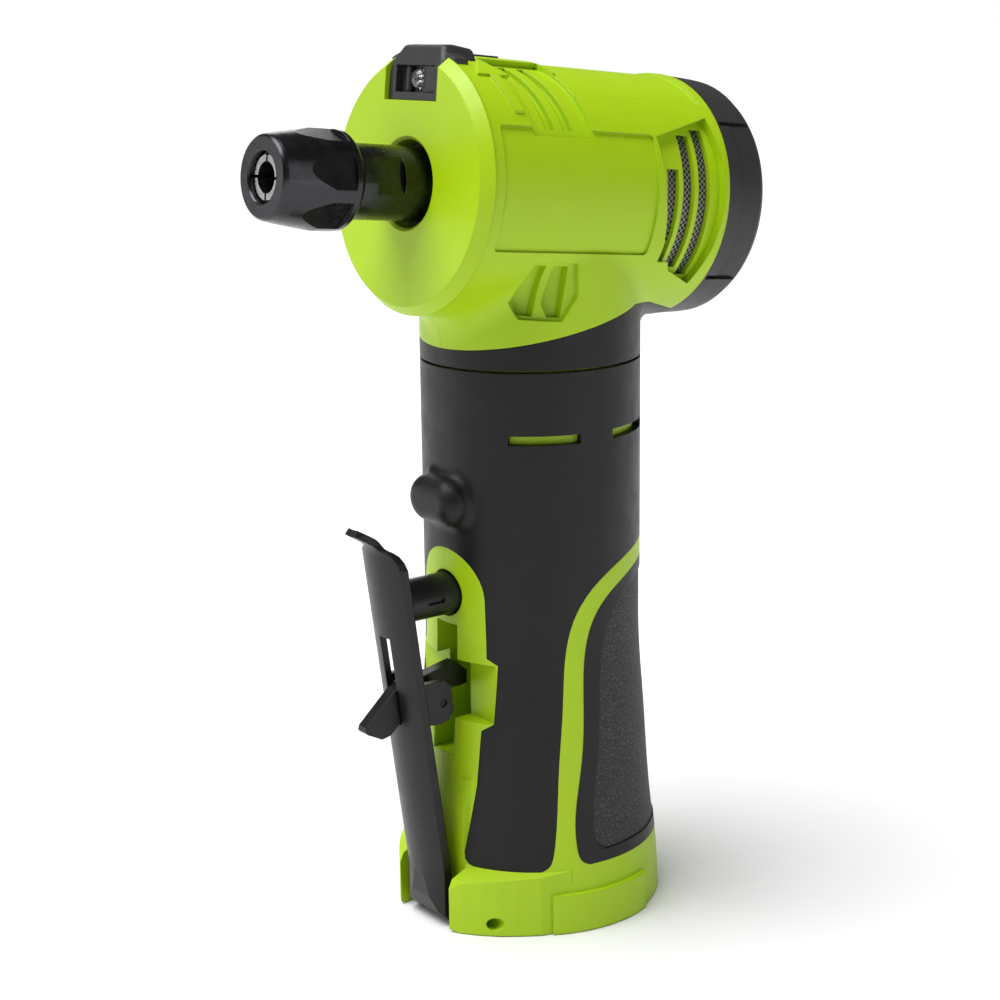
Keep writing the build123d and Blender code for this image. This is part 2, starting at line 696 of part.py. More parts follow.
def spindle():
    """Motor shaft and tool spindle in one: journals, collar, wrench flats, thread and taper seat."""
    profile = [
        (0, -38.4), (3.6, -38.4), (4.0, -38.0), (4.0, -22.0), (5.0, -22.0), (5.0, 15.2),
        (6.0, 15.2), (6.0, 26.05), (7.3, 26.05), (7.3, COLLAR_FRONT - 0.4), (6.9, COLLAR_FRONT),
        (6.3, COLLAR_FRONT), (6.3, 46.4), (THREAD_R, 47.0), (THREAD_R, 57.4), (6.4, 57.9),
        (5.62, 57.9), (3.95, 46.0), (3.4, 44.0), (3.4, 34.0), (0, 33.0),
    ]
    shaft = turned(profile)
    for side in (-1, 1):
        flat = block((SPINDLE_FLATS / 2, 12), (-8, 8), (35.8, 42.0))
        shaft -= Rot(0, 0, FLATS_TURN + (0 if side > 0 else 180)) * flat
    return shaft


def collet():
    """Slit steel collet for a 6 mm shank."""
    profile = [
        (COLLET_BORE_R, 46.4), (3.82, 46.4), (5.42, 57.6), (5.42, 58.3), (5.85, 58.5), (5.85, 60.0),
        (4.72, 62.2), (4.2, 62.5), (COLLET_BORE_R, 62.5),
    ]
    body = turned(profile)
    for angle in (0, 90):
        body -= Rot(0, 0, angle) * block((-8, 8), (-0.28, 0.28), (50.0, 64))
    return body


def collet_nut():
    """Black clamping nut: swelling nose, hexagon behind it and a round rear rim."""
    profile = [
        (NUT_BORE_R, NUT_BACK), (9.0, NUT_BACK), (9.55, NUT_BACK + 0.7), (9.65, 49.0), (9.65, 53.0),
        (9.3, 55.0), (8.95, 57.6), (8.55, 60.4), (8.15, 62.5), (7.95, 63.1), (7.55, NUT_FACE),
        (5.1, NUT_FACE), (4.85, 63.2), (4.85, 62.3), (5.98, 60.12), (5.98, 58.2), (NUT_BORE_R, 57.95),
    ]
    nut = turned(profile)
    hexagon = Pos(0, 0, 48.3) * extrude(RegularPolygon(NUT_FLATS / 2, 6, major_radius=False), 20, dir=(0, 0, 1))
    outside = disc(12, 48.3, 66) - Rot(0, 0, 30 + FLATS_TURN) * hexagon
    return nut - outside


# ---------------------------------------------------------------- electronics

def terminal_block():
    """Plastic block that closes the top of the battery socket."""
    body = battery_bore() & block((-25, 25), (SOCKET_FLAT + 0.1, 25), (57.5, SOCKET_DEPTH))
    body = body & disc(SOCKET_R - 0.05, 50, 70)
    return body - battery_contacts()


def battery_contacts():
    """Four flat spring contacts that the battery's terminals meet."""
    blades = []
    for x in (-9.0, -3.0, 3.0, 9.0):
        blades.append(block((x - 0.4, x + 0.4), (-2.0, 4.0), (50.5, 63.8)))
    return Compound(children=blades)


def control_board():
    """Motor controller board, standing upright in the handle."""
    return block((-14.5, 14.5), (6.0, 7.6), (84.0, 118.0))


def power_transistors():
    """Six flat power transistors on the front of the controller board."""
    chips = []
    for z in (90.0, 98.0, 106.0):
        for x in (-7.0, 7.0):
            chips.append(block((x - 3.0, x + 3.0), (4.6, 6.0), (z - 3.0, z + 3.0)))
    return Compound(children=chips)


def heat_sink():
    """Finned aluminium block that cools the power transistors."""
    sink = block((-11.5, 11.5), (1.6, 4.6), (85.5, 110.5))
    for x in range(-10, 12, 4):
        sink += block((x - 0.7, x + 0.7), (-3.4, 1.8), (85.5, 110.5))
    return sink


def capacitor():
    """Supply capacitor behind the controller board."""
    return Pos(0, 12.4, 88.0) * Cylinder(4.0, 13.0, align=UP)


def switch_body():
    """Main switch behind the plunger, with a bore for its slider."""
    body = block((-7, 7), (-3.5, 12.5), (65.6, 79.0))
    return body - rod((0, -5, PLUNGER_Z), (0, 10.4, PLUNGER_Z), 2.1)


def motor_wires():
    """Three phase leads from the controller board up to the stator."""
    wires = []
    for x in (-3.5, 0.0, 3.5):
        route = [(x, 8.6, 110.0), (x, 8.6, 122.5), (x, 14.5, 129.5), (x, 22.6, 129.5)]
        wires.append(wire_tube(route, 0.9, 3.0))
    return Compound(children=wires)


def battery_wires():
    """Two leads from the battery contacts up to the controller board."""
    wires = []
    for x in (-9.0, 9.0):
        route = [(x, 5.2, 62.05), (x, 5.2, 73.0), (x * 1.2, 9.0, 79.0), (x * 1.2, 9.0, 86.0)]
        wires.append(wire_tube(route, 0.9, 2.5))
    return Compound(children=wires)


# ---------------------------------------------------------------- lever, lock and plunger

def lever_skin():
    """Curved lever plate: an arc section swept along the lever, ridge outwards."""
    path = FilletPolyline(
        (0, *LEVER_FOOT), (0, *LEVER_KNEE), (0, *LEVER_BEND), (0, *LEVER_TIP), radius=[14, 3.5])
    reach = sqrt(LEVER_ARC_R ** 2 - LEVER_HALF ** 2)
    inner_r = LEVER_ARC_R - LEVER_WALL
    inner_reach = sqrt(inner_r ** 2 - LEVER_HALF ** 2)
    drop = LEVER_ARC_R - reach
    inner_drop = LEVER_ARC_R - inner_reach
    section = [
        ThreePointArc((-LEVER_HALF, -drop), (0, 0), (LEVER_HALF, -drop)),
        Line((LEVER_HALF, -drop), (LEVER_HALF, -inner_drop)),
        ThreePointArc((LEVER_HALF, -inner_drop), (0, -LEVER_WALL), (-LEVER_HALF, -inner_drop)),
        Line((-LEVER_HALF, -inner_drop), (-LEVER_HALF, -drop)),
    ]
    along = path % 0
    outward = Vector(1, 0, 0).cross(along)
    if outward.Y > 0:
        outward = outward * -1
    plane = Plane(origin=path @ 0, x_dir=outward.cross(along), z_dir=along)
    face = plane * make_face(section)
    return sweep(face, path=path)


def lever_outline():
    """Lever seen from the front: straight sides, square rounded shoulders and a narrow tongue."""
    half = LEVER_HALF
    right = [(half, 0), (half, 79.6), (half - 0.4, 81.2), (half - 1.2, 82.5), (half - 2.4, 83.2), (3.2, 83.5),
             (2.5, 83.8), (2.1, 84.6), (1.9, 87.0), (1.3, 89.2)]
    left = [(-x, z) for x, z in reversed(right)]
    return front_prism(right + left, -55, -5)


def lever_foot():
    """Solid foot of the lever: it carries the arc on down to a rounded end, with a knuckle on each side."""
    side = side_prism([(-31.6, 12.0), (-31.2, 6.0), (-30.4, 3.0), (-28.4, 1.0), (-25.6, 0.4), (-21.6, 0.6),
                       (-20.8, 2.6), (-21.4, 5.4), (-24.0, 7.6), (-28.0, 9.5), (-30.3, 12.0)], -8.3, 8.3)
    arc = Pos(0, -31.6 + LEVER_ARC_R, 0) * Cylinder(LEVER_ARC_R, 13, align=UP)
    knuckle = block((-8.3, 8.3), (-27.6, -20), (0, 7.6))
    middle = block((-LEVER_HALF, LEVER_HALF), (-40, -20), (0, 13))
    return side & arc & (middle + knuckle)


def lever():
    """Paddle lever with its hinge foot, the lock's window and the two ears for the lock's pin."""
    body = (lever_skin() & lever_outline()) + lever_foot()
    for side in (-1, 1):
        ear = side_prism(
            [(-35.4, 54.6), (-34.2, 45.6), (-29.5, 45.2), (-27.2, 45.7), (-26.0, 47.3), (-26.4, 52.9),
             (-28.2, 54.4)], 4.5, 6.0)
        body += ear if side > 0 else mirrored(ear)
    body -= block((-1.75, 1.75), (-50, -20), (45.4, 64.4))
    body -= Pos(0, LOCK_Y, LOCK_Z) * Rot(0, 90, 0) * Cylinder(LOCK_PIN_R, 20)
    body -= Pos(0, HINGE_Y, HINGE_Z) * Rot(0, 90, 0) * Cylinder(HINGE_PIN_R + 0.05, 30)
    return body


def lever_pin():
    """Steel pin that the lever turns on."""
    return Pos(0, HINGE_Y, HINGE_Z) * Rot(0, 90, 0) * Cylinder(HINGE_PIN_R, 22.0)


def lock_pin():
    """Pin through the lever's ears that carries the lock tab."""
    return Pos(0, LOCK_Y, LOCK_Z) * Rot(0, 90, 0) * Cylinder(LOCK_PIN_R, 11.4)


def lock_tab():
    """Lock-off tab: a thumb blade outside the lever and a stop arm inside it."""
    blade = side_prism(
        [(-30.4, 54.6), (-35.6, 54.1), (-37.8, 52.6), (-44.6, 46.6), (-44.9, 45.6), (-44.3, 45.0),
         (-40.8, 43.2), (-38.7, 43.6), (-34.2, 47.6), (-30.6, 48.0), (-29.0, 47.2), (-27.6, 47.4),
         (-26.2, 49.0), (-26.4, 50.9), (-21.0, 50.5), (-19.0, 50.8), (-18.9, 53.5), (-21.9, 56.1)],
        -TAB_HALF, TAB_HALF)
    corners = [edge for edge in blade.edges().filter_by(Axis.X) if edge.center().Y < -40]
    hub = Pos(0, LOCK_Y, LOCK_Z) * Rot(0, 90, 0) * Cylinder(2.5, 2 * TAB_HALF)
    tab = fillet(corners, 0.5) + hub
    return tab - Pos(0, LOCK_Y, LOCK_Z) * Rot(0, 90, 0) * Cylinder(LOCK_PIN_R + 0.05, 10)


def lock_spring():
    """Small coil spring on the lock's pin, beside the tab."""
    coils = None
    for x in (2.2, 2.85, 3.5, 4.1):
        turn = Pos(x, LOCK_Y, LOCK_Z) * Rot(0, 90, 0) * Torus(1.35, 0.25)
        coils = turn if coils is None else coils + turn
    legs = rod((2.2, LOCK_Y - 1.2, LOCK_Z), (2.2, LOCK_Y - 1.3, LOCK_Z - 3.0), 0.22)
    bridge = rod((2.2, LOCK_Y + 1.35, LOCK_Z), (4.1, LOCK_Y + 1.35, LOCK_Z), 0.22)
    return coils + legs + bridge


def plunger():
    """Black plunger that the lever pushes: domed tip, collar and a thin rear rod."""
    shaft = rod((0, -35.8, PLUNGER_Z), (0, -14.6, PLUNGER_Z), PLUNGER_R)
    dome = (Pos(0, -29.1, PLUNGER_Z) * Sphere(8.0)) & rod((0, -37.2, PLUNGER_Z), (0, -35.7, PLUNGER_Z), PLUNGER_R)
    flange = rod((0, -16.4, PLUNGER_Z), (0, -14.4, PLUNGER_Z), 5.2)
    body = shaft + dome + flange
    body -= block((2.0, 6.0), (-30.6, -26.4), (PLUNGER_Z - 0.5, PLUNGER_Z + 0.5)) - rod(
        (0, -40, PLUNGER_Z), (0, -10, PLUNGER_Z), 3.8)
    return body


def switch_slider():
    """Thin rod that carries the plunger's travel into the switch."""
    return rod((0, -14.4, PLUNGER_Z), (0, 2.4, PLUNGER_Z), 2.0)


def plunger_guide():
    """Bush in the housing that guides the plunger."""
    return rod((0, -20.8, PLUNGER_Z), (0, -16.9, PLUNGER_Z), 5.55) - rod(
        (0, -22, PLUNGER_Z), (0, -15, PLUNGER_Z), 4.5)


def plunger_spring():
    """Return spring between the plunger's collar and the switch."""
    path = Helix(pitch=2.3, height=9.4, radius=3.3)
    coil = sweep(Plane(origin=path @ 0, z_dir=path % 0) * Circle(0.4), path=path)
    return Pos(0, -13.9, PLUNGER_Z) * (Rot(-90, 0, 0) * coil)


# ---------------------------------------------------------------- fasteners

def housing_screws():
    """Four screws from the -X side that hold the housing halves together."""
    screws = []
    for y, z in screw_places():
        head = Pos(-10.7, y, z) * Rot(0, -90, 0) * (
            Cylinder(2.8, 1.8, align=UP) - Pos(0, 0, 1.0) * Cylinder(1.1, 2, align=UP))
        shank = Pos(7.0, y, z) * Rot(0, -90, 0) * Cylinder(1.05, 17.8, align=UP)
        screws.append(head + shank)
    return Compound(children=screws)


def rear_cap_screws():
    """Four screws in the rear face of the cap."""
    screws = []
    for angle in range(45, 360, 90):
        screw = disc(2.6, CAP_BACK + 0.3, CAP_BACK + 1.7) + disc(1.2, CAP_BACK + 1.6, -41.6)
        screw -= disc(1.0, CAP_BACK - 1, CAP_BACK + 1.1)
        screws.append(Rot(0, 0, angle) * Pos(16.0, 0, 0) * screw)
    return Compound(children=screws)


def build_parts():
    """Every named piece of the tool."""
    shell = housing()
    screen = vent_screen()
    return {
        "housing_right": half(shell, 1),
        "housing_left": half(shell, -1),
        "nose_cover": in_head(nose_cover()),
        "rear_cap": in_head(rear_cap()),
        "neck_collar": neck_collar(),
        "grip_sleeve": grip_sleeve(),
        "rear_grip_panel": rear_grip_panel(),
        "rear_grip_inlay": rear_grip_inlay(),
        "light_housing": in_head(light_housing()),
        "light_wire_cover": in_head(light_wire_cover()),
        "light_board": in_head(light_board()),
        "light_lens": in_head(light_lens()),
        "vent_screen_right": in_head(screen),
        "vent_screen_left": in_head(mirrored(screen)),
        "bearing_plate": in_head(bearing_plate()),
        "dust_seal": in_head(dust_seal()),
        "front_bearing": in_head(bearing_outer(*FRONT_BEARING)),
        "front_bearing_inner": in_head(bearing_inner(*FRONT_BEARING)),
        "rear_bearing": in_head(bearing_outer(*REAR_BEARING)),
        "rear_bearing_inner": in_head(bearing_inner(*REAR_BEARING)),
        "wave_spring": in_head(wave_spring()),
        "stator_core": in_head(stator_core()),
        "stator_windings": in_head(stator_windings()),
        "sensor_board": in_head(sensor_board()),
        "rotor_core": in_head(rotor_core()),
        "rotor_magnets": in_head(rotor_magnets()),
        "cooling_fan": in_head(cooling_fan()),
        "spindle": in_head(spindle()),
        "collet": in_head(collet()),
        "collet_nut": in_head(collet_nut()),
        "terminal_block": terminal_block(),
        "battery_contacts": battery_contacts(),
        "control_board": control_board(),
        "power_transistors": power_transistors(),
        "heat_sink": heat_sink(),
        "capacitor": capacitor(),
        "switch_body": switch_body(),
        "motor_wires": motor_wires(),
        "battery_wires": battery_wires(),
        "lever": lever(),
        "lever_pin": lever_pin(),
        "lock_pin": lock_pin(),
        "lock_tab": lock_tab(),
        "lock_spring": lock_spring(),
        "plunger": plunger(),
        "switch_slider": switch_slider(),
        "plunger_guide": plunger_guide(),
        "plunger_spring": plunger_spring(),
        "housing_screws": housing_screws(),
        "rear_cap_screws": in_head(rear_cap_screws()),
    }


def main():
    """Write one STEP file for each piece."""
    os.makedirs("parts", exist_ok=True)
    for name, shape in build_parts().items():
        export_step(shape, f"parts/{name}.step")


main()
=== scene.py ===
"""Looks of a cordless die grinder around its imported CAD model, in metres.

+Z runs up the handle, -Y points towards the collet and +X is the side with the label panel.
"""

import json
from math import cos, radians, sin

import bpy
from mathutils import Matrix, Vector


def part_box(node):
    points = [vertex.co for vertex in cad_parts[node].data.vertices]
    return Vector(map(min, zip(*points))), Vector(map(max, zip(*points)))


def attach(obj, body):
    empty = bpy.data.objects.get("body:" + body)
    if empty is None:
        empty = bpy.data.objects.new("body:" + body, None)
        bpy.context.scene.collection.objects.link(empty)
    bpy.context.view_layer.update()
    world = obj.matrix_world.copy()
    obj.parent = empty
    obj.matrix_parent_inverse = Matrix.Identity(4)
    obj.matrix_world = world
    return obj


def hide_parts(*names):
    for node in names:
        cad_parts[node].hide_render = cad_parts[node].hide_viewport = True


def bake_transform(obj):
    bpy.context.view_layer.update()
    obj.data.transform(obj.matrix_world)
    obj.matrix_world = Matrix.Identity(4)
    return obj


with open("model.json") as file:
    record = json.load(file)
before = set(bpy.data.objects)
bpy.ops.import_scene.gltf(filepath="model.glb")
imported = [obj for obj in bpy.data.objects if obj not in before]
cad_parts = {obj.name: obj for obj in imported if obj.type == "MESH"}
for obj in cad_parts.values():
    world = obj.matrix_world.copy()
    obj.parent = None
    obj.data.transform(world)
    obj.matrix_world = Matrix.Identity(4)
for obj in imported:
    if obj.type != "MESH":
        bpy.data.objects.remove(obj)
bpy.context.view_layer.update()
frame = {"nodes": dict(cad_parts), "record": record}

MM = 0.001
HEAD_HEIGHT = 152.5 * MM      # spindle axis above the socket mouth
HEAD_TILT = radians(5.7)      # how far the collet end points up
FORWARD = Vector((0, -cos(HEAD_TILT), sin(HEAD_TILT)))
RISE = Vector((0, sin(HEAD_TILT), cos(HEAD_TILT)))
HEAD = Matrix.Translation((0, 0, HEAD_HEIGHT)) @ Matrix(
    ((1, 0, 0), (0, RISE.y, FORWARD.y), (0, RISE.z, FORWARD.z))).to_4x4()   # sideways, up, forward

CAMERA_PLACE = (0.3220, -0.2571, 0.1886)
CAMERA_TURN = radians(52.32)  # round from the collet end towards the label side
CAMERA_PITCH = radians(13.84)
CAMERA_ROLL = radians(-0.79)
CAMERA_LENS = 71.88

TOOL_MIDDLE = (0, 0, 0.10)
NUT_PLACE = (0, -0.05, 0.155)
FLOOR_SIZE = 8
FLOOR_GAP = 0.2 * MM          # keeps the floor clear of the socket's mouth

SMOOTH_ANGLE = radians(40)
SPRING_WIRE_R = 0.35 * MM
SPRING_TURNS = 3
SPRING_STEPS = 32             # flats in one turn of the coil


# ---------------------------------------------------------------- camera, lights and floor

def place_camera():
    """Camera a little above the tool, off its collet end and label side."""
    turn, pitch, roll = CAMERA_TURN, CAMERA_PITCH, CAMERA_ROLL
    ahead = Vector((-sin(turn) * cos(pitch), cos(turn) * cos(pitch), -sin(pitch)))
    level = Vector((cos(turn), sin(turn), 0))
    over = level.cross(ahead)
    right = level * cos(roll) + over * sin(roll)
    up = over * cos(roll) - level * sin(roll)
    data = bpy.data.cameras.new("studio_camera")
    data.sensor_width = 36
    data.lens = CAMERA_LENS
    data.clip_start = 0.01
    camera = bpy.data.objects.new("studio_camera", data)
    bpy.context.scene.collection.objects.link(camera)
    turned = Matrix((right, up, -ahead)).transposed().to_4x4()
    camera.matrix_world = Matrix.Translation(CAMERA_PLACE) @ turned
    bpy.context.scene.camera = camera


def soft_box(name, place, aim, width, height, power):
    """Rectangular studio light that faces a point."""
    data = bpy.data.lights.new(name, "AREA")
    data.shape = "RECTANGLE"
    data.size = width
    data.size_y = height
    data.energy = power
    light = bpy.data.objects.new(name, data)
    bpy.context.scene.collection.objects.link(light)
    facing = (Vector(aim) - Vector(place)).to_track_quat("-Z", "Y")
    light.matrix_world = Matrix.Translation(place) @ facing.to_matrix().to_4x4()


def overhead(toward, power, spread):
    """Very soft light from above that covers the whole floor evenly."""
    data = bpy.data.lights.new("overhead_light", "SUN")
    data.energy = power
    data.angle = radians(spread)
    light = bpy.data.objects.new("overhead_light", data)
    bpy.context.scene.collection.objects.link(light)
    light.matrix_world = Vector(toward).to_track_quat("-Z", "Y").to_matrix().to_4x4()


def surround(seen, lighting):
    """White surround: as bright as paper where it is seen, dimmer where it lights the tool."""
    world = bpy.data.worlds.new("white_surround")
    bpy.context.scene.world = world
    world.use_nodes = True
    tree = world.node_tree
    tree.nodes.clear()
    backdrop = add(tree, "ShaderNodeBackground", {"Color": paint("#FFFFFF"), "Strength": seen})
    room = add(tree, "ShaderNodeBackground", {"Color": paint("#FFFFFF"), "Strength": lighting})
    path = add(tree, "ShaderNodeLightPath")
    either = add(tree, "ShaderNodeMixShader", {
        "Fac": path.outputs["Is Camera Ray"], 1: room.outputs[0], 2: backdrop.outputs[0],
    })
    add(tree, "ShaderNodeOutputWorld", {"Surface": either.outputs[0]})


def light_studio():
    """Broad light from above, a soft key at the front, and cards that draw out edges and the nut."""
    surround(seen=1.0, lighting=0.11)
    overhead(toward=(0.10, 0.30, -1.0), power=4.1, spread=50)
    soft_box("key_light", (-0.25, -0.75, 0.60), TOOL_MIDDLE, width=0.5, height=0.6, power=1.5)
    soft_box("side_light", (0.95, 0.20, 0.40), TOOL_MIDDLE, width=0.3, height=0.9, power=1.1)
    soft_box("edge_light", (-0.75, 0.35, 0.25), TOOL_MIDDLE, width=0.3, height=0.8, power=1.4)
    soft_box("nose_card", (-0.66, -0.62, 0.24), NUT_PLACE, width=0.16, height=0.4, power=0.7)


def lay_floor():
    """Plain pale floor just under the socket's mouth."""
    bpy.ops.mesh.primitive_plane_add(size=FLOOR_SIZE, location=(0, 0, -FLOOR_GAP))
    floor = bpy.context.object
    floor.name = "studio_floor"
    floor.data.materials.append(finish_floor())


# ---------------------------------------------------------------- materials

def paint(code):
    """Linear colour from an sRGB hex value."""
    parts = [int(code[i:i + 2], 16) / 255 for i in (1, 3, 5)]
    return tuple(p / 12.92 if p <= 0.04045 else ((p + 0.055) / 1.055) ** 2.4 for p in parts) + (1.0,)


def add(tree, kind, inputs=(), **settings):
    """Add a node, with its settings, and values or links for its inputs."""
    made = tree.nodes.new(kind)
    for name, value in settings.items():
        setattr(made, name, value)
    for name, value in dict(inputs).items():
        if isinstance(value, bpy.types.NodeSocket):
            tree.links.new(value, made.inputs[name])
        else:
            made.inputs[name].default_value = value
    return made


def new_material(name):
    """Empty material with its node tree."""
    material = bpy.data.materials.new(name)
    material.use_nodes = True
    material.node_tree.nodes.clear()
    return material, material.node_tree


def per_mm(size):
    """Texture scale that gives features of a size in millimetres."""
    return 1000.0 / size


def object_place(tree):
    """Place on the piece, in metres, that patterns are laid out on."""
    return add(tree, "ShaderNodeTexCoord").outputs["Object"]


def soft_edges(tree, radius_mm):
    """Normal that rounds the edges of a moulding by a small radius."""
    return add(tree, "ShaderNodeBevel", {"Radius": radius_mm * MM}, samples=6).outputs["Normal"]


def grained(tree, grain_mm, depth_mm, normal, strength=0.5):
    """Fine even moulding grain, as of a spark-eroded mould."""
    place = object_place(tree)
    grain = add(tree, "ShaderNodeTexNoise", {"Vector": place, "Scale": per_mm(grain_mm), "Detail": 2.0})
    bump = add(tree, "ShaderNodeBump", {
        "Height": grain.outputs["Fac"], "Distance": depth_mm * MM, "Strength": strength, "Normal": normal,
    })
    return bump.outputs["Normal"]


def uneven(tree, colour, darker, patch_mm):
    """Colour that wanders a little between two tones, as moulded parts do."""
    place = object_place(tree)
    cloud = add(tree, "ShaderNodeTexNoise", {"Vector": place, "Scale": per_mm(patch_mm), "Detail": 3.0})
    tones = add(tree, "ShaderNodeMixRGB", {
        "Fac": cloud.outputs["Fac"], "Color1": paint(colour), "Color2": paint(darker),
    })
    return tones.outputs["Color"]


def uneven_gloss(tree, low, high, patch_mm):
    """Roughness that wanders between two values."""
    place = object_place(tree)
    cloud = add(tree, "ShaderNodeTexNoise", {"Vector": place, "Scale": per_mm(patch_mm), "Detail": 3.0})
    return add(tree, "ShaderNodeMapRange", {
        "Value": cloud.outputs["Fac"], "From Min": 0.3, "From Max": 0.7, "To Min": low, "To Max": high,
    }).outputs["Result"]


def close_material(material, tree, **inputs):
    """Principled shader and output for a material; underscores stand for spaces."""
    sockets = {name.replace("_", " "): value for name, value in inputs.items()}
    shader = add(tree, "ShaderNodeBsdfPrincipled", sockets)
    add(tree, "ShaderNodeOutputMaterial", {"Surface": shader.outputs[0]})
    return material


def finish_floor():
    """Matt white paper: no pattern shows at this distance."""
    material, tree = new_material("white_paper_floor")
    return close_material(material, tree, Base_Color=paint("#EBEBEB"), Roughness=0.9)


def moulded_plastic(name, colour, darker, rough, grain_mm, depth_mm, edge_mm, ior=1.5):
    """Injection-moulded plastic: a fine grain breaks up its sheen and every edge is softly rounded."""
    material, tree = new_material(name)
    normal = grained(tree, grain_mm, depth_mm, soft_edges(tree, edge_mm))
    return close_material(
        material, tree, Base_Color=uneven(tree, colour, darker, 9.0),
        Roughness=uneven_gloss(tree, rough - 0.04, rough + 0.05, 4.0), IOR=ior, Normal=normal,
    )


def leather_grain_rubber():
    """Moulded rubber with a leather grain: small rounded pebbles with creases between them, with painted
    shade darkening the creases and the pebble tops painted lighter.
    """
    material, tree = new_material("leather_grain_charcoal_rubber")
    place = object_place(tree)
    wander = add(tree, "ShaderNodeTexNoise", {"Vector": place, "Scale": per_mm(2.5), "Detail": 2.0})
    pushed = add(tree, "ShaderNodeMixRGB", {
        "Fac": 0.0006, "Color1": place, "Color2": wander.outputs["Color"],
    }, blend_type="ADD")
    pebbles = add(tree, "ShaderNodeTexVoronoi", {
        "Vector": pushed.outputs["Color"], "Scale": per_mm(0.9),
    }, feature="DISTANCE_TO_EDGE")
    creased = add(tree, "ShaderNodeMapRange", {
        "Value": pebbles.outputs["Distance"],
        "From Min": 0.0, "From Max": 0.35, "To Min": 0.0, "To Max": 1.0,
    }, interpolation_type="SMOOTHSTEP")
    bump = add(tree, "ShaderNodeBump", {
        "Height": creased.outputs["Result"], "Distance": 0.12 * MM, "Strength": 0.8,
        "Normal": soft_edges(tree, 0.4),
    })
    # painted shade: the creases take the darker tone and the pebble tops the lighter one
    tones = add(tree, "ShaderNodeMixRGB", {
        "Fac": creased.outputs["Result"], "Color1": paint("#1C1C1D"), "Color2": paint("#3C3C3E"),
    })
    return close_material(
        material, tree, Base_Color=tones.outputs["Color"], Roughness=0.62, IOR=1.5,
        Normal=bump.outputs["Normal"],
    )


def dot(tree, place, direction):
    """Distance of a place along a direction."""
    product = add(tree, "ShaderNodeVectorMath", {0: place, 1: tuple(direction)}, operation="DOT_PRODUCT")
    return product.outputs["Value"]


def along_spindle(tree, place):
    """Distance forward along the spindle's direction, in metres."""
    return dot(tree, place, FORWARD)


def turned_steel(name, colour, rough, ring_mm, edge_mm):
    """Steel turned on a lathe: faint rings around the spindle's axis stretch its highlights."""
    material, tree = new_material(name)
    rings = add(tree, "ShaderNodeTexNoise", {
        "W": along_spindle(tree, object_place(tree)), "Scale": per_mm(ring_mm), "Detail": 3.0,
    }, noise_dimensions="1D")
    bump = add(tree, "ShaderNodeBump", {
        "Height": rings.outputs["Fac"], "Distance": 0.01 * MM, "Strength": 0.5,
        "Normal": soft_edges(tree, edge_mm),
    })
    return close_material(
        material, tree, Base_Color=paint(colour), Metallic=1.0,
        Roughness=uneven_gloss(tree, rough - 0.03, rough + 0.05, 3.0), Normal=bump.outputs["Normal"],
    )


def plain_metal(name, colour, rough, grain_mm=0.4, depth_mm=0.01):
    """Bare metal with the faint unevenness of how it was made."""
    material, tree = new_material(name)
    normal = grained(tree, grain_mm, depth_mm, soft_edges(tree, 0.1))
    return close_material(
        material, tree, Base_Color=paint(colour), Metallic=1.0,
        Roughness=uneven_gloss(tree, rough - 0.04, rough + 0.08, 2.0), Normal=normal,
    )


def layered_steel():
    """Stack of thin electrical steel sheets: fine lines run around it, one every half millimetre."""
    material, tree = new_material("stacked_electrical_steel")
    along = along_spindle(tree, object_place(tree))
    sheet = add(tree, "ShaderNodeMath", {0: along, 1: 0.5 * MM}, operation="DIVIDE")
    step = add(tree, "ShaderNodeMath", {0: sheet.outputs[0], 1: 0.5}, operation="PINGPONG")
    bump = add(tree, "ShaderNodeBump", {"Height": step.outputs[0], "Distance": 0.05 * MM, "Strength": 0.8})
    return close_material(
        material, tree, Base_Color=paint("#6A6B6E"), Metallic=0.9, Roughness=0.45,
        Normal=bump.outputs["Normal"],
    )


def woven_wire(pitch_mm=0.6, radius_mm=22.4):
    """Plain-woven steel screen, a little coarser than real so that it shows.

    Raised crowns of wire in bright steel, checkered with near-black cells of painted shade that stand for
    the dark seen through the gaps.
    """
    material, tree = new_material("plain_woven_steel_screen")
    place = object_place(tree)
    lifted = add(tree, "ShaderNodeVectorMath", {0: place, 1: (0, 0, HEAD_HEIGHT)}, operation="SUBTRACT")
    height = dot(tree, lifted.outputs[0], RISE)
    sideways = dot(tree, place, (1, 0, 0))
    turn = add(tree, "ShaderNodeMath", {0: height, 1: sideways}, operation="ARCTAN2")
    around = add(tree, "ShaderNodeMath", {
        0: turn.outputs[0], 1: radius_mm / pitch_mm,
    }, operation="MULTIPLY")
    forward = add(tree, "ShaderNodeMath", {
        0: along_spindle(tree, place), 1: per_mm(pitch_mm),
    }, operation="MULTIPLY")
    cell = add(tree, "ShaderNodeCombineXYZ", {"X": around.outputs[0], "Y": forward.outputs[0], "Z": 0.5})
    crossings = add(tree, "ShaderNodeTexVoronoi", {
        "Vector": cell.outputs[0], "Scale": 1.0, "Randomness": 0.0,
    })
    over = add(tree, "ShaderNodeTexChecker", {
        "Vector": cell.outputs[0], "Scale": 1.0, "Color1": (1, 1, 1, 1), "Color2": (0, 0, 0, 1),
    })
    # painted shade: the near-black checker cells stand for the dark inside seen through the gaps
    shade = add(tree, "ShaderNodeMixRGB", {
        "Fac": over.outputs["Fac"], "Color1": paint("#0E0E0E"), "Color2": paint("#8C8C89"),
    })
    crown = add(tree, "ShaderNodeMapRange", {
        "Value": crossings.outputs["Distance"],
        "From Min": 0.15, "From Max": 0.6, "To Min": 1.0, "To Max": 0.0,
    })
    bump = add(tree, "ShaderNodeBump", {
        "Height": crown.outputs["Result"], "Distance": 0.2 * MM, "Strength": 0.8,
    })
    return close_material(
        material, tree, Base_Color=shade.outputs["Color"], Metallic=0.5, Roughness=0.4,
        Normal=bump.outputs["Normal"],
    )


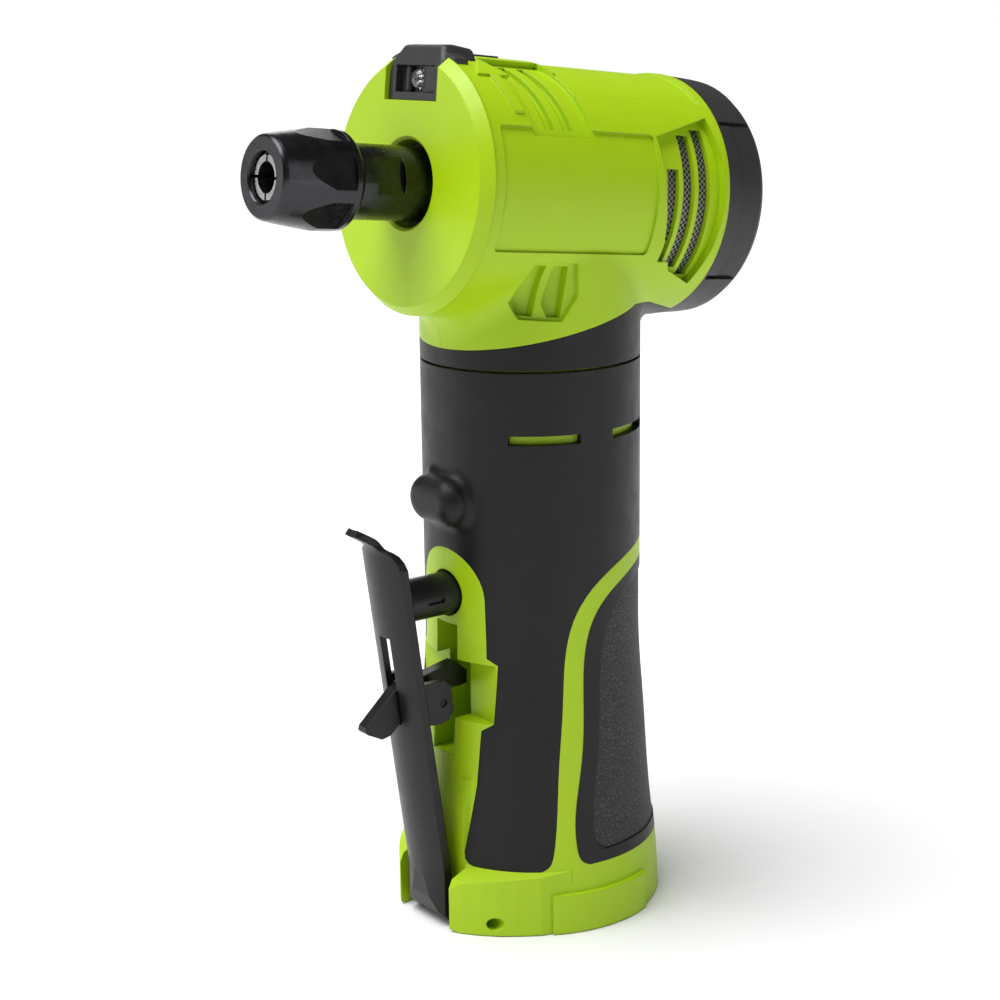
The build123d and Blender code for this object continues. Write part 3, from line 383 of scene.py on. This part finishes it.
def wound_copper():
    """Enamelled copper winding: close turns of wire show as fine ridges."""
    material, tree = new_material("enamelled_copper_winding")
    place = object_place(tree)
    turns = add(tree, "ShaderNodeTexWave", {
        "Vector": place, "Scale": per_mm(0.6) / 20.0, "Distortion": 0.6, "Detail": 1.0,
    }, wave_type="RINGS", rings_direction="SPHERICAL")
    bump = add(tree, "ShaderNodeBump", {
        "Height": turns.outputs["Fac"], "Distance": 0.2 * MM, "Strength": 0.9,
    })
    return close_material(
        material, tree, Base_Color=paint("#B5602A"), Metallic=0.9, Roughness=0.3, Coat_Weight=0.4,
        Normal=bump.outputs["Normal"],
    )


def solder_mask():
    """Green solder mask over copper tracks, with a thin clear gloss."""
    material, tree = new_material("green_solder_mask")
    place = object_place(tree)
    tracks = add(tree, "ShaderNodeTexVoronoi", {"Vector": place, "Scale": per_mm(2.2)}, distance="MANHATTAN")
    tones = add(tree, "ShaderNodeValToRGB", {"Fac": tracks.outputs["Distance"]})
    tones.color_ramp.interpolation = "CONSTANT"
    tones.color_ramp.elements[0].color = paint("#2C7A3C")
    tones.color_ramp.elements[1].position = 0.5
    tones.color_ramp.elements[1].color = paint("#145A28")
    return close_material(
        material, tree, Base_Color=tones.outputs["Color"], Roughness=0.35, Coat_Weight=0.3,
    )


def pressed_felt():
    """Pressed wool felt: matt, with loose fibres that catch a little light."""
    material, tree = new_material("pressed_grey_felt")
    normal = grained(tree, 0.3, 0.15, soft_edges(tree, 0.2), strength=1.0)
    return close_material(
        material, tree, Base_Color=uneven(tree, "#4C4C4A", "#32322F", 0.8), Roughness=0.95, Sheen_Weight=0.4,
        Normal=normal,
    )


def clear_lens():
    """Clear moulded polycarbonate of the work light, which shows the lamp behind it."""
    material, tree = new_material("clear_polycarbonate_lens")
    return close_material(
        material, tree, Base_Color=paint("#F4FBF6"), Roughness=0.06, IOR=1.58, Transmission_Weight=0.95,
        Normal=soft_edges(tree, 0.3),
    )


def make_finishes():
    """One finish for each material slot of the record."""
    return {
        # satin lime ABS: bright, saturated, with a broad soft sheen
        "housing_plastic": moulded_plastic(
            "satin_lime_abs", "#A8CC06", "#A2C605", 0.44, 0.35, 0.006, 0.35, ior=1.44),
        # textured black ABS of the cap: a slightly dusty, even grey sheen
        "black_plastic": moulded_plastic(
            "grained_black_abs", "#303031", "#2B2B2C", 0.5, 0.3, 0.02, 0.3, ior=1.45),
        # smooth over-moulded rubber: deep black with a wide silky highlight
        "grip_rubber": moulded_plastic(
            "silky_black_rubber", "#101011", "#0D0D0E", 0.44, 0.25, 0.006, 0.3, ior=1.38),
        "textured_rubber": leather_grain_rubber(),
        # glass-filled nylon: black and a little glossier on edges
        "lever_plastic": moulded_plastic(
            "satin_black_nylon", "#0E0E0F", "#0B0B0C", 0.36, 0.3, 0.006, 0.25, ior=1.42),
        "lamp_lens": clear_lens(),
        "screen_mesh": woven_wire(),
        "cast_alloy": plain_metal("die_cast_aluminium", "#B4B5B8", 0.42, 0.5, 0.03),
        "felt": pressed_felt(),
        "bearing_steel": turned_steel("ground_bearing_steel", "#B9BABD", 0.18, 0.3, 0.15),
        "spring_steel": plain_metal("drawn_spring_wire", "#8C8D90", 0.3, 0.3, 0.005),
        "motor_laminations": layered_steel(),
        "copper_wire": wound_copper(),
        "circuit_board": solder_mask(),
        "magnets": plain_metal("nickel_plated_magnet", "#A7A8AA", 0.28, 0.3, 0.005),
        "fan_plastic": moulded_plastic("grey_nylon", "#2B2B2E", "#262628", 0.45, 0.3, 0.01, 0.2),
        # black oxide: dark and oily, so that only its edges and curves shine
        "black_steel": turned_steel("black_oxide_steel", "#3E3E41", 0.26, 0.25, 0.25),
        # bright nickel: mirror-like with faint turning rings
        "nickel_steel": turned_steel("bright_nickel_steel", "#A9A9A8", 0.22, 0.2, 0.12),
        "contact_brass": plain_metal("tinned_brass", "#C5A65A", 0.28, 0.3, 0.005),
        "component_black": moulded_plastic(
            "moulded_black_resin", "#161617", "#121213", 0.5, 0.2, 0.01, 0.1),
        "wire_sleeving": moulded_plastic(
            "red_silicone_sleeving", "#9A1B16", "#8A1712", 0.45, 0.4, 0.005, 0.1),
        "pin_steel": plain_metal("blackened_pin_steel", "#2A2A2C", 0.3, 0.2, 0.003),
        "screw_steel": plain_metal("black_coated_screw", "#2C2C2E", 0.35, 0.3, 0.005),
    }


# ---------------------------------------------------------------- pieces

def start_block(name, low, high):
    """Cube stretched between two corners of the head's frame, in millimetres."""
    bpy.ops.object.select_all(action="DESELECT")
    middle = (Vector(low) + Vector(high)) * 0.5 * MM
    bpy.ops.mesh.primitive_cube_add(size=1, location=middle)
    piece = bpy.context.object
    piece.name = name
    piece.data.name = name
    bpy.ops.transform.resize(value=(Vector(high) - Vector(low)) * MM)
    bpy.ops.object.transform_apply(location=True, rotation=True, scale=True)
    return piece


def pick_faces(piece, towards):
    """In edit mode, select only the faces that look one way."""
    bpy.ops.mesh.select_all(action="DESELECT")
    bpy.ops.object.mode_set(mode="OBJECT")
    for face in piece.data.polygons:
        face.select = face.normal.dot(Vector(towards)) > 0.9
    bpy.ops.object.mode_set(mode="EDIT")


def round_off(piece, width_mm, segments=3):
    """Bevel every edge and shade the result smoothly."""
    bevel = piece.modifiers.new("round", "BEVEL")
    bevel.width = width_mm * MM
    bevel.segments = segments
    bevel.limit_method = "ANGLE"
    bpy.ops.object.modifier_apply(modifier=bevel.name)
    bpy.ops.object.shade_smooth_by_angle(angle=SMOOTH_ANGLE)


def settle(piece, body, finish):
    """Put a piece made in the head's frame in its place, with its finish."""
    piece.matrix_world = HEAD @ piece.matrix_world
    bpy.ops.object.transform_apply(location=True, rotation=True, scale=True)
    piece.data.materials.clear()
    piece.data.materials.append(finish)
    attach(piece, body)


def make_lamp_pillar(finish):
    """Smooth pillar of the work light's window, beside the lamp, with its front face dished."""
    pillar = start_block("lamp_pillar", (2.35, 17.75, 28.35), (6.25, 22.65, 29.75))
    bpy.ops.object.mode_set(mode="EDIT")
    pick_faces(pillar, (0, 0, 1))
    bpy.ops.mesh.inset(thickness=0.55 * MM)
    bpy.ops.transform.translate(value=(0, 0, -0.35 * MM))
    bpy.ops.object.mode_set(mode="OBJECT")
    round_off(pillar, 0.22)
    settle(pillar, "handpiece", finish)


def make_lamp_ridge(finish):
    """Upright ridge on the other side of the lamp, drawn in towards its front."""
    ridge = start_block("lamp_ridge", (-3.45, 17.75, 28.35), (-2.25, 22.65, 29.3))
    bpy.ops.object.mode_set(mode="EDIT")
    pick_faces(ridge, (0, 0, 1))
    bpy.ops.mesh.extrude_region_move(TRANSFORM_OT_translate={"value": (0, 0, 0.4 * MM)})
    bpy.ops.transform.resize(value=(0.55, 0.92, 1.0))
    bpy.ops.object.mode_set(mode="OBJECT")
    round_off(ridge, 0.18)
    settle(ridge, "handpiece", finish)


def make_plunger_spring(finish):
    """Coil spring between the switch and the plunger's collar, in the box of the CAD spring that it
    replaces; its length is fixed.
    """
    low, high = (Vector(corner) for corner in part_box("plunger_spring"))
    middle = (low + high) / 2
    wire = SPRING_WIRE_R
    bpy.ops.object.select_all(action="DESELECT")
    bpy.ops.mesh.primitive_circle_add(
        vertices=12, radius=wire, location=((high.x - low.x) / 2 - wire, 0, 0),
        rotation=(radians(90), 0, 0))
    spring = bpy.context.object
    spring.name = "plunger_coil"
    spring.data.name = "plunger_coil"
    bpy.ops.object.transform_apply(location=True, rotation=True, scale=True)
    coil = spring.modifiers.new("coil", "SCREW")
    coil.iterations = SPRING_TURNS
    coil.screw_offset = (high.y - low.y - 2 * wire) / SPRING_TURNS
    coil.steps = SPRING_STEPS
    coil.render_steps = SPRING_STEPS
    bpy.ops.object.modifier_apply(modifier=coil.name)
    bpy.ops.object.mode_set(mode="EDIT")
    bpy.ops.mesh.select_all(action="SELECT")
    bpy.ops.mesh.fill_holes(sides=0)
    bpy.ops.mesh.normals_make_consistent(inside=False)
    bpy.ops.object.mode_set(mode="OBJECT")
    bpy.ops.object.shade_smooth_by_angle(angle=SMOOTH_ANGLE)
    lie_along_y = Matrix.Rotation(radians(-90), 4, "X")
    spring.matrix_world = Matrix.Translation((middle.x, low.y + wire, middle.z)) @ lie_along_y
    bpy.ops.object.transform_apply(location=True, rotation=True, scale=True)
    spring.data.materials.clear()
    spring.data.materials.append(finish)
    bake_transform(spring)
    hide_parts("plunger_spring")


def dress_frame(finishes):
    """Give each CAD node the finish of its slot."""
    for row in frame["record"]["subparts"]:
        node = frame["nodes"][row["node"]]
        node.data.materials.clear()
        node.data.materials.append(finishes[row["material_slot"]])


# ---------------------------------------------------------------- making

place_camera()
bpy.context.scene.view_settings.view_transform = "Standard"
light_studio()
lay_floor()
finishes = make_finishes()
dress_frame(finishes)
make_lamp_pillar(finishes["black_plastic"])
make_lamp_ridge(finishes["black_plastic"])
make_plunger_spring(finishes["spring_steel"])
